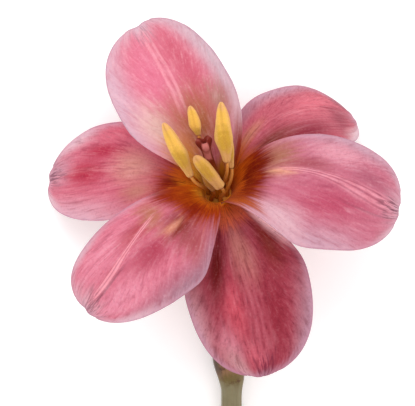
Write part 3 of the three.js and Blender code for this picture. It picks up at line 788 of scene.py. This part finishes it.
def make_anther(stamen, number):
    low, tip = np.asarray(stamen["low"], float), np.asarray(stamen["tip"], float)
    tip = low + (tip - low) * stamen["reach"]
    widest = stamen["widest"]
    shares = 0.5 - 0.5 * np.cos(np.linspace(0, np.pi, ANTHER_ROWS))

    def radius(u, angle):
        beyond = np.maximum(0, (u - widest) / (1 - widest))
        rising = stamen["low_end"] + (1 - stamen["low_end"]) * ramp((0, widest), u)
        width = rising * np.sqrt(1 - (1 - ANTHER_TIP_END) * beyond ** stamen["bluntness"])
        low_end = np.sqrt(1 - 0.75 * np.clip(1 - u / LOW_END_ROUNDING, 0, 1) ** 2)
        turned = angle - stamen["twist"] * (u - 0.5)
        groove = GROOVE_DEPTH * (dip(turned, np.pi, GROOVE_WIDTH) + dip(turned, 0, GROOVE_WIDTH))
        slits = SLIT_DEPTH * (dip(turned, np.pi / 2, SLIT_WIDTH) + dip(turned, -np.pi / 2, SLIT_WIDTH))
        uneven = ANTHER_UNEVENNESS * waves(u * 2 + np.sin(turned) * 0.3, np.cos(turned) * 0.4, number)
        flat = 1 - ANTHER_FLATNESS * np.cos(turned) ** 2
        place, side, amount = stamen["swell"]
        swell = amount * np.exp(-(((u - place) / SWELL_LENGTH) ** 2))
        swell = swell * dip(angle, math.radians(side), SWELL_WIDTH)
        return stamen["radius"] * width * low_end * (flat - groove - slits + uneven + swell)

    points, faces, along, turn = tube(line(low, tip), shares, ANTHER_SIDES, ACROSS, radius)
    made = new_object(f"anther_{number}_sacs", points + HEAD, faces)
    set_values(made, "along", along)
    set_values(made, "turn", turn - stamen["twist"] * (along - 0.5))
    dress(made, f"anther_{number}", "anther", anther_material(stamen, number))


def make_pistil():
    outline = smooth_route([(height, radius, 0) for height, radius in PISTIL_OUTLINE])
    outline = outline(np.linspace(0, 1, PISTIL_ROWS))
    height, radius = outline[:, 0:1], outline[:, 1:2]
    angle = angles(PISTIL_SIDES)
    lobe = np.cos(3 * (angle - LOBE_TURN))
    crease = sum(dip(angle, LOBE_TURN + k * 2 * np.pi / 3, LOBE_CREASE_WIDTH) for k in range(3))
    # How far each row is round the stigma, from its neck over the rim into the hollow
    stigma = ramp((STIGMA_HEIGHT, STIGMA_HEIGHT + STIGMA_RISE), height) * np.ones(angle.shape)
    inside = ramp(HOLLOW_SPAN, np.linspace(0, 1, PISTIL_ROWS)[:, None])
    lobes = OVARY_LOBES + (STIGMA_LOBES - OVARY_LOBES) * stigma
    r = radius * (1 - lobes + lobes * lobe - LOBE_CREASE * crease * stigma * (1 - 0.6 * inside))
    drop = LOBE_DROP * stigma * (1 - lobe) / 2 * (1 - inside)
    lean = STIGMA_LEAN * (np.clip(height / PISTIL_HEIGHT, 0, None) ** LEAN_BEND)[..., None]
    at = FLOWER_AXIS * (height - drop)[..., None] + lean
    rings = at + BACK * (r * np.cos(angle))[..., None] + ACROSS * (r * np.sin(angle))[..., None]
    points, faces = loft(rings)
    made = new_object("pistil_column", points + HEAD, faces)
    set_values(made, "along", height * np.ones(angle.shape))
    front = 0.6 + 0.4 * np.cos(angle - LOBE_TURN)
    set_values(made, "lobe", (0.5 + 0.5 * lobe) * stigma * front)
    set_values(made, "front", np.cos(angle - LOBE_TURN) * np.ones(height.shape))
    set_values(made, "hollow", inside * np.ones(angle.shape))
    dress(made, "pistil", "pistil", pistil_material())


def end_rings(share_and_depth, at, direction, normal, radius, angle):
    """Rings that close an end: each is a share of the end's radius, and lies a depth back from it."""
    rings = []
    for share, depth in share_and_depth:
        place = at[None] + direction[None] * depth
        rings.append(rings_round(place, direction[None], normal[None], radius * share + 0 * angle, angle)[0])
    return rings


def make_stem():
    cut_end = np.array([STEM_X, CUT_END_Y, STEM_RADIUS])
    neck_start = np.array([STEM_X, NECK_START_Y, STEM_RADIUS])
    run_rows, neck_rows = np.linspace(0, 1, RUN_ROWS)[:-1], np.linspace(0, 1, NECK_ROWS)
    run = frames(line(cut_end, neck_start), run_rows, RIGHT)
    neck_route = smooth_route([neck_start, *NECK_ROUTE, HEAD - FLOWER_AXIS * NECK_TAIL, HEAD])
    neck = frames(neck_route, neck_rows, RIGHT)
    at, direction, normal = (np.concatenate([a, b]) for a, b in zip(run[:3], neck[:3]))
    up_neck = np.concatenate([0 * run_rows, neck_rows])[:, None]
    along = np.concatenate([run[3] * run_rows, run[3] + neck[3] * neck_rows])[:, None]
    angle = angles(STEM_SIDES)

    r = STEM_RADIUS + (NECK_RADIUS - STEM_RADIUS) * ramp(NECK_WIDENS, up_neck) + 0 * angle
    r = r + (RECEPTACLE_RADIUS - NECK_RADIUS) * ramp(RECEPTACLE_WIDENS, up_neck)
    wave = SHEATH_START + SHEATH_WAVE * (np.sin(2 * angle + 0.8) + 0.4 * np.sin(5 * angle))
    sheath = ramp(SHEATH_HEM, along - wave) * (1 - ramp(SHEATH_FADES, up_neck))
    ribs = STEM_RIB_DEPTH * (1 + np.cos(STEM_RIBS * angle + 2 * np.sin(along / 35))) * (1 - 0.6 * sheath)
    r = r + SHEATH_HEIGHT * sheath - ribs

    cut = end_rings(CUT_FACE, at[0], direction[0], normal[0], r[0], angle)
    top = end_rings(RECEPTACLE_TOP, at[-1], -direction[-1], normal[-1], r[-1], angle)
    rings = np.concatenate([cut, rings_round(at, direction, normal, r, angle), top])
    points, faces = loft(rings)
    made = new_object("stem_stalk", points, faces)
    grid = np.ones(angle.shape)
    before, after = np.zeros((len(cut), 1)), np.full((len(top), 1), along[-1, 0])
    set_values(made, "along", np.concatenate([before, along, after]) * grid)
    set_values(made, "turn", np.concatenate([before, 0 * along, 0 * after]) + angle)
    shares = np.array([share for share, _ in CUT_FACE])[:, None]
    set_values(made, "cut", np.concatenate([2 - shares, 0 * along, 0 * after]) * grid)
    set_values(made, "top", np.concatenate([before, 0 * along, 1 + 0 * after]) * grid)
    made.data.set_sharp_from_angle(angle=math.radians(STEM_SHARP_ANGLE))
    dress(made, "stem", "stem", stem_material())


# Materials


def colour(rgb):
    """Linear colour of an sRGB one given from 0 to 255."""
    shares = [c / 255 for c in rgb]
    return tuple(c / 12.92 if c <= 0.04045 else ((c + 0.055) / 1.055) ** 2.4 for c in shares) + (1.0,)


class Tree:
    """A node tree, with a short call for each kind of node used here."""

    def __init__(self, tree):
        self.tree = tree

    def node(self, kind, inputs=(), **settings):
        made = self.tree.nodes.new(kind)
        for key, value in settings.items():
            setattr(made, key, value)
        for key, value in dict(inputs).items():
            self.feed(made.inputs[key], value)
        return made

    def feed(self, socket, value):
        if isinstance(value, bpy.types.NodeSocket):
            self.tree.links.new(value, socket)
        else:
            socket.default_value = value

    def sum(self, operation, *values):
        return self.node("ShaderNodeMath", dict(enumerate(values)), operation=operation).outputs[0]

    def times(self, a, b):
        return self.sum("MULTIPLY", a, b)

    def add(self, base, extra, gain):
        """The base, with so much of another value on it."""
        return self.sum("MULTIPLY_ADD", extra, gain, base)

    def value(self, name):
        return self.node("ShaderNodeAttribute", attribute_name=name).outputs["Fac"]

    def step(self, x, low, high, to_low=0.0, to_high=1.0):
        names = ("Value", "From Min", "From Max", "To Min", "To Max")
        made = self.node("ShaderNodeMapRange", dict(zip(names, (x, low, high, to_low, to_high))))
        made.interpolation_type = "SMOOTHSTEP"
        return made.outputs[0]

    def noise(self, x, y, z, detail=2.0, rough=0.5):
        place = self.node("ShaderNodeCombineXYZ", {0: x, 1: y, 2: z}).outputs[0]
        return self.noise_at(place, 1.0, detail, rough)

    def grain(self, per_mm, detail=2.0, rough=0.5):
        """Noise over the object's own space, with so many grains to a millimetre."""
        return self.noise_at(self.node("ShaderNodeTexCoord").outputs["Object"], per_mm / MM, detail, rough)

    def noise_at(self, place, scale, detail, rough):
        inputs = {"Vector": place, "Scale": scale, "Detail": detail, "Roughness": rough}
        return self.node("ShaderNodeTexNoise", inputs).outputs["Fac"]

    def centred(self, noise, gain):
        """A noise as a height about zero."""
        return self.times(self.sum("SUBTRACT", noise, 0.5), gain)

    def mix(self, share, a, b):
        made = self.node("ShaderNodeMix", data_type="RGBA", blend_type="MIX")
        self.feed(made.inputs[0], share)
        self.feed(made.inputs[6], a)
        self.feed(made.inputs[7], b)
        return made.outputs[2]

    def tint(self, tone, rgb, share):
        return self.mix(share, tone, colour(rgb))

    def lay(self, tone, rgb, x, low, high, most=1.0):
        """Lays a colour on a tone, from none of it where x is low to the most where x is high."""
        return self.tint(tone, rgb, self.step(x, low, high, 0.0, most))

    def finish(self, base, roughness, height=None, bump=0.2, distance=0.0001, **fixed):
        shader = self.node("ShaderNodeBsdfPrincipled", {"Base Color": base, "Roughness": roughness})
        for key, value in fixed.items():
            shader.inputs[key.replace("_", " ")].default_value = value
        if height is not None:
            made = self.node("ShaderNodeBump", {"Height": height, "Strength": bump, "Distance": distance})
            self.feed(shader.inputs["Normal"], made.outputs[0])
        out = self.node("ShaderNodeOutputMaterial")
        self.feed(out.inputs[0], shader.outputs[0])


def new_material(name):
    material = bpy.data.materials.new(name)
    material.use_nodes = True
    material.node_tree.nodes.clear()
    return material, Tree(material.node_tree)


def stroke_group():
    """A node group that lays a soft oval of colour on a tepal, slanted along its veins."""
    group = bpy.data.node_groups.new("stroke", "ShaderNodeTree")
    numbers = ("Along", "Across", "Middle along", "Middle across", "Length", "Width", "Slant")
    kinds = dict.fromkeys(("Colour", "Paint"), "Color") | dict.fromkeys(numbers, "Float")
    for label, kind in kinds.items():
        group.interface.new_socket(name=label, in_out="INPUT", socket_type="NodeSocket" + kind)
    group.interface.new_socket(name="Colour", in_out="OUTPUT", socket_type="NodeSocketColor")
    tree = Tree(group)
    source = tree.node("NodeGroupInput").outputs
    outlet = tree.node("NodeGroupOutput").inputs[0]
    far = tree.sum("SUBTRACT", source["Along"], source["Middle along"])
    middle = tree.add(source["Middle across"], far, source["Slant"])
    up = tree.sum("DIVIDE", far, source["Length"])
    aside = tree.sum("DIVIDE", tree.sum("SUBTRACT", source["Across"], middle), source["Width"])
    square = tree.add(tree.times(up, up), aside, aside)
    share = tree.step(tree.sum("SQRT", square), 1.0, 0.0)
    tree.feed(outlet, tree.mix(share, source["Colour"], source["Paint"]))


def quadratic(tree, x, at, values):
    """A smooth curve over x through three values at three places."""
    a, b, c = np.polyfit(at, values, 2)
    return tree.add(float(c), tree.add(float(b), x, float(a)), x)


class TepalSkin:
    """The markings of one tepal, each laid on a tone by a method of its own."""

    def __init__(self, tree, tepal, seed):
        self.tree = tree
        self.paint = COMMON_PAINT | PAINT[tepal["name"]]
        self.back = BACKS[tepal["slot"]]
        self.along, self.across, self.margin = (tree.value(name) for name in ("along", "across", "margin"))
        self.aside = tree.sum("ABSOLUTE", self.across)
        self.find_veins(seed)
        edge = quadratic(tree, self.across, (-1, 0, 1), self.paint["edge"])
        self.depth = tree.sum("SUBTRACT", edge, self.frayed)
        middle = quadratic(tree, self.along, (0.45, 0.65, 0.9), self.paint["midrib"])
        self.from_midrib = tree.sum("SUBTRACT", self.across, tree.add(middle, self.broad, MIDRIB_WANDER))
        self.near = tree.step(tree.sum("ABSOLUTE", self.from_midrib), *NEAR_MIDRIB)

    def find_veins(self, seed):
        """Fine veins and broad flow. They run up the midrib, and beside it they bend over to the margin."""
        tree, along = self.tree, self.along
        spread = tree.sum("DIVIDE", self.across, tree.add(0.45, along, 0.7))
        bent = tree.sum("POWER", self.aside, 0.6)
        lean = tree.step(self.across, -0.02, 0.02, *self.paint["lean"])
        leaving = tree.sum("SUBTRACT", bent, tree.times(along, lean))
        side = tree.add(seed, tree.sum("SIGN", self.across), 3.0)
        turned = tree.times(tree.step(along, 0.2, 0.5), tree.step(self.aside, *self.paint["barbs"]))

        def field(across_grains, along_grains, bent_grains, draw, *rough):
            upward = tree.times(along, along_grains)
            straight = tree.noise(tree.times(spread, across_grains), upward, draw, *rough)
            sideward = tree.times(bent, along_grains)
            beside = tree.noise(tree.times(leaving, bent_grains), sideward, side, *rough)
            return tree.centred(tree.add(straight, tree.sum("SUBTRACT", beside, straight), turned), 5)

        self.veins = field(20.0, 13.0, 28.0, seed, 2.5, 0.65)
        self.flow = field(8.0, 8.0, 11.0, seed + 5, 1.5)
        self.broad = tree.centred(tree.noise(tree.times(spread, 9.0), tree.times(along, 1.8), seed + 7), 4)
        self.frayed = tree.add(tree.add(along, self.veins, 0.02), self.broad, 0.03)

    def strokes(self, tone, strokes):
        if "stroke" not in bpy.data.node_groups:
            stroke_group()
        for rgb, up, aside, length, width, *slant in strokes:
            inputs = {
                "Colour": tone, "Paint": colour(rgb), "Along": self.frayed, "Across": self.across,
                "Middle along": up, "Middle across": aside, "Length": length, "Width": width,
                "Slant": slant[0] if slant else 0,
            }
            made = self.tree.node("ShaderNodeGroup", node_tree=bpy.data.node_groups["stroke"])
            for key, value in inputs.items():
                self.tree.feed(made.inputs[key], value)
            tone = made.outputs[0]
        return tone

    def patches(self):
        """The soft patches of colour, and the blotch at the foot, dark along its upper edge."""
        tree, paint = self.tree, self.paint
        tone = self.strokes(colour(paint["body"]), paint["strokes"])
        blotch = tree.lay(colour(paint["blotch"]), paint["foot"], self.depth, *BLOTCH_FADE)
        soft = paint["edge_softness"]
        tone = tree.mix(tree.step(self.depth, -soft, soft), tone, blotch)
        return self.strokes(tone, paint["blotch_strokes"])

    def midrib_lines(self, tone):
        """Fine lines up the midrib, pale and dusky by turns, on a pale glow."""
        tree, paint, along = self.tree, self.paint, self.along
        aside = tree.sum("DIVIDE", self.from_midrib, tree.step(along, 0.5, 1.0, 1.0, paint["fan"]))
        away = tree.sum("ABSOLUTE", aside)
        reach = tree.times(tree.step(along, *paint["lines_start"]), tree.step(along, 1.0, 0.85))
        half, strength = paint["band"]
        glow = tree.times(tree.step(away, half, half * 0.4, 0.0, strength), reach)
        tone = tree.tint(tone, paint["line"], glow)
        width, period = paint["lines"]
        band = tree.times(tree.step(away, width, width * 0.5), reach)
        pattern = tree.sum("COSINE", tree.times(aside, 2 * math.pi / period))
        pale_line = tree.times(band, tree.step(pattern, 0.6, -1.0, 0.0, paint["line_strength"]))
        tone = tree.tint(tone, paint["line"], pale_line)
        dusky_line = tree.times(band, tree.step(pattern, 0.2, 1.0, 0.0, paint["furrow_strength"]))
        return tree.tint(tone, paint["furrow"], dusky_line)

    def crease(self, tone):
        """A dusky crease beside the midrib, on the tepals that have one."""
        tree = self.tree
        near_foot, near_tip, dark = self.paint["crease"]
        if not dark:
            return tone
        place = tree.add(tree.step(self.along, 0.6, 1.0, near_foot, near_tip), self.broad, MIDRIB_WANDER)
        away = tree.sum("ABSOLUTE", tree.sum("SUBTRACT", self.across, place))
        share = tree.times(tree.step(away, 0.035, 0.005), tree.step(self.along, 0.6, 0.75, 0.0, dark))
        return tree.tint(tone, self.paint["tip"], share)

    def streaks(self, tone):
        """Darker veins with paler skin between them, red-brown and orange where they cross the blotch."""
        tree, paint = self.tree, self.paint
        inside = tree.step(self.depth, -0.08, 0.04)
        vein = tree.tint(colour(paint["vein"]), BLOTCH_VEIN, inside)
        pale = tree.tint(colour(paint["pale"]), BLOTCH_PALE, inside)
        darker, paler = paint["streaks"]
        mottle = tree.centred(tree.grain(1.1, 2.5, 0.7), 5)
        for height, share in ((self.veins, 1.0), (self.flow, 0.9), (mottle, 0.65)):
            tone = tree.mix(tree.step(height, 0.0, 1.5, 0.0, darker * share), tone, vein)
            tone = tree.mix(tree.step(height, 0.0, -1.5, 0.0, paler * share), tone, pale)
        return tone

    def margin_and_tip(self, tone):
        """The rim is paler, with a thin dusky line at its edge, and dusky streaks run out at the tip."""
        tree, paint, along = self.tree, self.paint, self.along
        from_edge = tree.add(self.margin, self.veins, 0.4)
        rim = tree.step(from_edge, paint["rim_width"], 0.0, 0.0, paint["rim_strength"])
        tone = tree.tint(tone, paint["rim"], tree.times(rim, tree.step(along, 0.22, 0.5)))
        edge_line = tree.step(from_edge, 0.6, 0.1, 0.0, RIM_LINE_STRENGTH)
        tone = tree.tint(tone, RIM_LINE, tree.times(edge_line, tree.step(along, 0.25, 0.5)))
        reached = tree.step(tree.add(along, self.near, 0.06), 0.88, 0.99)
        streaks = tree.times(reached, tree.step(tree.add(self.veins, self.near, 0.3), 0.1, 0.8))
        streaks = tree.times(streaks, tree.add(0.4, self.near, 0.6))
        return tree.tint(tone, paint["tip"], tree.times(streaks, paint["tip_strength"]))

    def outside(self):
        """Duller, with a dusky flame up the middle, a pale keel in it and darker veins."""
        tree, back, along = self.tree, self.back, self.along
        wide = tree.add(tree.add(self.aside, self.veins, 0.05), self.flow, 0.08)
        flame = tree.times(tree.step(wide, 0.8, 0.1), tree.step(along, 1.0, 0.5))
        tone = tree.tint(colour(back["side"]), back["flame"], flame)
        ridge = tree.times(tree.step(wide, 0.12, 0.0, 0.0, 0.5), tree.step(along, 0.85, 0.3))
        tone = tree.tint(tone, back["keel"], ridge)
        tone = tree.lay(tone, back["foot"], tree.add(along, self.flow, 0.04), 0.34, 0.06)
        tone = tree.lay(tone, back["vein"], self.veins, -0.2, 1.4, 0.55)
        tone = tree.lay(tone, back["keel"], self.veins, 0.0, -1.4, 0.25)
        return tree.lay(tone, back["vein"], self.flow, 0.2, 1.4, 0.35)


def tepal_material(tepal, seed):
    material, tree = new_material(tepal["name"] + "_skin")
    skin = TepalSkin(tree, tepal, seed)
    tone = skin.patches()
    for lay_on in (skin.midrib_lines, skin.crease, skin.streaks, skin.margin_and_tip):
        tone = lay_on(tone)
    tone = tree.mix(tree.value("outside"), tone, skin.outside())
    tree.finish(
        tone, 0.55, skin.veins, bump=0.35, distance=0.00012,
        Specular_IOR_Level=0.05, Sheen_Weight=0.03, Sheen_Roughness=0.45,
        Subsurface_Weight=0.12, Subsurface_Scale=FLESH_DEPTH, Subsurface_Radius=(1.0, 0.45, 0.35),
    )
    return material


def filament_material(stamen, number):
    material, tree = new_material(f"filament_{number}_skin")
    tones = FILAMENT_TONES
    along, turn = tree.value("along"), tree.value("turn")
    fibres = tree.centred(tree.noise(tree.times(turn, 3.0), tree.times(along, 3.0), 1.0), 4)
    blush = tree.centred(tree.grain(0.7), 4)
    tone = tree.lay(colour(tones["low"]), tones["high"], along, 0.0, 0.85)
    tone = tree.lay(tone, tones["fibre"], fibres, -0.2, 1.2, 0.5)
    tone = tree.lay(tone, tones["blush"], blush, 0.0, 1.2, 0.35)
    # Filaments hidden among the anthers are darkened with painted shade
    painted_shade = stamen["painted_shade"]
    painted_shadow = tree.step(fibres, -1.5, 1.5, min(1, painted_shade * 1.3), min(1, painted_shade * 2.6))
    tone = tree.tint(tone, tones["painted_shade"], painted_shadow)
    tree.finish(
        tone, tree.step(fibres, -1.0, 1.0, 0.38, 0.52), fibres, bump=0.35, distance=0.0001,
        Specular_IOR_Level=0.4,
        Subsurface_Weight=0.15, Subsurface_Scale=FLESH_DEPTH, Subsurface_Radius=(1.0, 0.5, 0.25),
    )
    return material


def anther_material(stamen, number):
    material, tree = new_material(f"anther_{number}_pollen")
    tones = ANTHER_TONES
    along, turn = tree.value("along"), tree.value("turn")
    clumps = tree.centred(tree.grain(0.55, 2.0), 4)
    crumbs = tree.centred(tree.grain(2.6, 2.0, 0.6), 4)
    dust = tree.centred(tree.grain(9.0, 1.0), 4)
    face_on = tree.sum("COSINE", turn)
    ripples = tree.centred(tree.noise(tree.times(face_on, 2.2), tree.times(along, 1.5), 4.0), 4)

    # Tan where the filament enters, olive above it and orange-yellow up to the tip
    wander = tree.add(along, clumps, 0.07)
    tone = tree.lay(colour(tones["foot"]), tones["olive"], wander, *stamen["tan"])
    tone = tree.lay(tone, tones["yellow"], wander, *stamen["olive"])
    tone = tree.lay(tone, tones["tip"], wander, 0.82, 1.0, 0.85)
    # Paler orange along both sides: partly their colour, partly a painted highlight
    sides = tree.sum("ABSOLUTE", tree.sum("SINE", turn))
    tone = tree.lay(tone, tones["side"], tree.add(sides, clumps, 0.08), 0.62, 0.95, 0.6)
    # Olive in the hollows of the pollen, orange along the open edges
    tone = tree.lay(tone, tones["hollow"], ripples, 0.1, 1.2, 0.4)
    tone = tree.lay(tone, tones["clump"], clumps, 0.2, 1.3, 0.4)
    tone = tree.lay(tone, tones["crumb"], crumbs, 0.1, 1.5, 0.5)
    tone = tree.lay(tone, tones["grain"], crumbs, -0.2, -1.5, 0.45)
    # The grooves up the face are darkened with painted shade, and the slits at the sides are darker
    tone = tree.tint(tone, tones["groove"], tree.times(tree.step(face_on, -0.93, -1.0), 0.18))
    tone = tree.tint(tone, tones["slit"], tree.times(tree.step(sides, 0.985, 1.0), 0.5))
    # Anthers hidden among the others are darkened with painted shade
    painted_shade = stamen["painted_shade"]
    tone = tree.tint(tone, tones["painted_shade"], tree.step(clumps, -1.0, 1.0, painted_shade, min(1, painted_shade * 1.2)))
    tree.finish(
        tone, tree.step(dust, -1.0, 1.0, 0.75, 0.95), tree.add(crumbs, dust, 0.35), bump=0.6, distance=0.0002,
        Specular_IOR_Level=0.2, Sheen_Weight=0.15, Sheen_Roughness=0.6,
    )
    return material


def pistil_material():
    material, tree = new_material("pistil_skin")
    tones = PISTIL_TONES
    blotches = tree.centred(tree.grain(0.5, 3.0, 0.6), 4)
    fuzz = tree.centred(tree.grain(5.0, 2.0, 0.6), 4)
    wander = tree.add(tree.value("along"), blotches, 0.9)
    tone = tree.lay(colour(tones["foot"]), tones["ovary"], wander, 1.0, 9.0)
    tone = tree.lay(tone, tones["neck"], wander, 9.5, 15.0)
    tone = tree.lay(tone, tones["blotch"], blotches, 0.1, 1.3, 0.5)
    # Under the front lobe the column is mauve
    flush = tree.times(tree.step(tree.value("front"), 0.3, 0.9), tree.step(wander, 15.4, 16.8))
    tone = tree.tint(tone, tones["flush"], flush)
    # The stigma: maroon, with mauve along its lobes, partly their colour and partly a painted highlight that
    # is strongest on the front lobe, and a dark hollow
    tone = tree.lay(tone, tones["stigma"], wander, 18.6, 20.2, 0.8)
    crest_and_highlight = tree.times(tree.step(tree.add(tree.value("lobe"), blotches, 0.1), 0.3, 0.8), 0.9)
    tone = tree.tint(tone, tones["crest_and_highlight"], crest_and_highlight)
    tone = tree.lay(tone, tones["hollow"], tree.value("hollow"), 0.25, 0.7, 0.85)
    downy = tree.times(tree.step(fuzz, 0.2, 1.4, 0.0, 0.3), tree.step(wander, 15.0, 19.0))
    tone = tree.tint(tone, tones["down"], downy)
    tree.finish(
        tone, tree.step(fuzz, -1.0, 1.0, 0.45, 0.7), fuzz, bump=0.4, distance=0.00015,
        Specular_IOR_Level=0.08, Sheen_Weight=0.02, Sheen_Roughness=0.5,
    )
    return material


def neck_tone(tree, along, rightward, fibres, stains_and_shade, specks):
    """The neck: olive where it starts, then tan with dusky maroon flushes and flecks, fading upwards, that
    are partly stains and partly painted shadow of the tepal above it, with a dark painted shadow low on its
    left side.
    """
    tones = STEM_TONES
    wander = tree.add(along, stains_and_shade, 0.9)
    fading = tree.step(wander, 134.0, 108.0)
    tone = tree.lay(colour(tones["neck_start"]), tones["neck"], wander, 103.5, 107.5)
    tone = tree.lay(tone, tones["neck_top"], wander, 111.0, 132.0, 0.9)
    tone = tree.lay(tone, tones["neck_right"], rightward, 0.3, 0.9, 0.75)
    # Dusky flushes and flecks: partly stains, partly painted shadow of the outer front tepal above
    tone = tree.tint(tone, tones["flush"], tree.times(tree.step(stains_and_shade, 0.1, 1.3, 0.0, 0.8), fading))
    tone = tree.tint(tone, tones["fleck"], tree.times(tree.step(specks, 0.1, 1.3, 0.0, 0.5), fading))
    # A dark painted shadow low on the neck's left side, under the outer front tepal
    painted_shadow = tree.times(fading, tree.step(wander, 104.0, 108.0))
    painted_shadow = tree.times(tree.step(rightward, -0.35, -0.85, 0.0, 0.85), painted_shadow)
    tone = tree.tint(tone, tones["painted_shadow"], painted_shadow)
    return tree.lay(tone, tones["neck_fibre"], fibres, 0.0, 1.2, 0.4)


def cut_face_tone(tree, cut):
    """The cut end: pale and moist, with the ends of the vessels in it."""
    tones = STEM_TONES
    place = tree.node("ShaderNodeTexCoord").outputs["Object"]
    vessels = tree.node("ShaderNodeTexVoronoi", {"Vector": place, "Scale": VESSELS_PER_MM / MM})
    dots = tree.step(vessels.outputs["Distance"], 0.34, 0.14)
    tone = tree.lay(colour(tones["pith"]), tones["pith_middle"], cut, 1.05, 1.6)
    return tree.tint(tone, tones["vessel"], tree.times(dots, tree.step(cut, 1.7, 1.5, 0.0, 0.6)))


def stem_material():
    material, tree = new_material("stem_skin")
    tones = STEM_TONES
    along, turn, cut = (tree.value(name) for name in ("along", "turn", "cut"))
    upward = tree.times(tree.sum("COSINE", turn), -1.0)
    rightward = tree.sum("SINE", turn)
    fibres = tree.noise(tree.times(upward, 7.0), tree.times(rightward, 7.0), tree.times(along, 0.06))
    fibres = tree.centred(fibres, 4)
    blotches = tree.centred(tree.grain(0.16, 3.0, 0.6), 4)
    specks = tree.centred(tree.grain(1.6, 3.0, 0.65), 4)
    stains_and_shade = tree.centred(tree.grain(0.42, 2.5, 0.6), 5)

    # Grey-green with a waxy bloom, and darker fibres
    tone = tree.lay(colour(tones["green"]), tones["bloom"], blotches, -1.0, 1.0)
    tone = tree.lay(tone, tones["fibre"], fibres, 0.0, 1.3, 0.5)
    tone = tree.lay(tone, tones["wax"], fibres, 0.0, -1.3, 0.35)
    neck = neck_tone(tree, along, rightward, fibres, stains_and_shade, specks)
    tone = tree.mix(tree.step(tree.add(along, stains_and_shade, 1.1), 100.8, 104.6), tone, neck)
    # Under the flower it takes on the tepals' colours
    tone = tree.lay(tone, tones["under_flower"], along, 178.0, 184.0, 0.9)
    receptacle = tree.lay(colour(tones["receptacle"]), tones["receptacle_speck"], specks, -1.0, 1.0)
    tone = tree.mix(tree.value("top"), tone, receptacle)
    tone = tree.mix(tree.step(cut, 0.4, 1.0), tone, cut_face_tone(tree, cut))
    tree.finish(
        tone, tree.step(cut, 0.4, 1.0, 0.55, 0.3), tree.add(fibres, specks, 0.4), bump=0.3, distance=0.00015,
        Specular_IOR_Level=0.3, Subsurface_Weight=0.08, Subsurface_Scale=FLESH_DEPTH,
        Sheen_Weight=0.6, Sheen_Roughness=0.3,
    )
    return material


# Scene


def make_floor():
    half = FLOOR_SIZE / 2
    corners = np.array([(-half, -half, 0), (half, -half, 0), (half, half, 0), (-half, half, 0)], float)
    floor = new_object("floor", corners, [[0, 1, 2, 3]], smooth=False)
    material, tree = new_material("floor_paper")
    tree.finish(colour(FLOOR_COLOUR), 0.9, Emission_Color=(1, 1, 1, 1), Emission_Strength=FLOOR_GLOW)
    floor.data.materials.append(material)


def make_camera():
    data = bpy.data.cameras.new("camera")
    data.sensor_width = SENSOR_WIDTH
    data.lens = SENSOR_WIDTH * CAMERA_FROM_HEAD[2] / PHOTO_WIDTH_AT_HEAD
    data.clip_start, data.clip_end = CAMERA_CLIP
    made = bpy.data.objects.new("camera", data)
    made.location = (HEAD + CAMERA_FROM_HEAD) * MM
    bpy.context.scene.collection.objects.link(made)
    bpy.context.scene.camera = made


def make_light(name, place, size, watts):
    data = bpy.data.lights.new(name, "AREA")
    data.shape = "DISK"
    data.size = size * MM
    data.energy = watts
    made = bpy.data.objects.new(name, data)
    made.location = np.asarray(place, float) * MM
    made.rotation_euler = Vector(HEAD - np.asarray(place, float)).to_track_quat("-Z", "Y").to_euler()
    bpy.context.scene.collection.objects.link(made)


def make_studio():
    bpy.context.scene.view_settings.view_transform = "Standard"
    world = bpy.data.worlds.new("studio")
    world.use_nodes = True
    background = world.node_tree.nodes["Background"]
    background.inputs[0].default_value = (1, 1, 1, 1)
    background.inputs[1].default_value = WORLD_STRENGTH
    bpy.context.scene.world = world
    for light in LIGHTS:
        make_light(**light)


make_stem()
for seed, tepal in enumerate(TEPALS):
    make_tepal(WHORLS[tepal["slot"]] | tepal, 11 * seed + 3)
for number, stamen in enumerate(STAMENS, 1):
    make_filament(COMMON_STAMEN | stamen, number)
    make_anther(COMMON_STAMEN | stamen, number)
make_pistil()
make_floor()
make_camera()
make_studio()
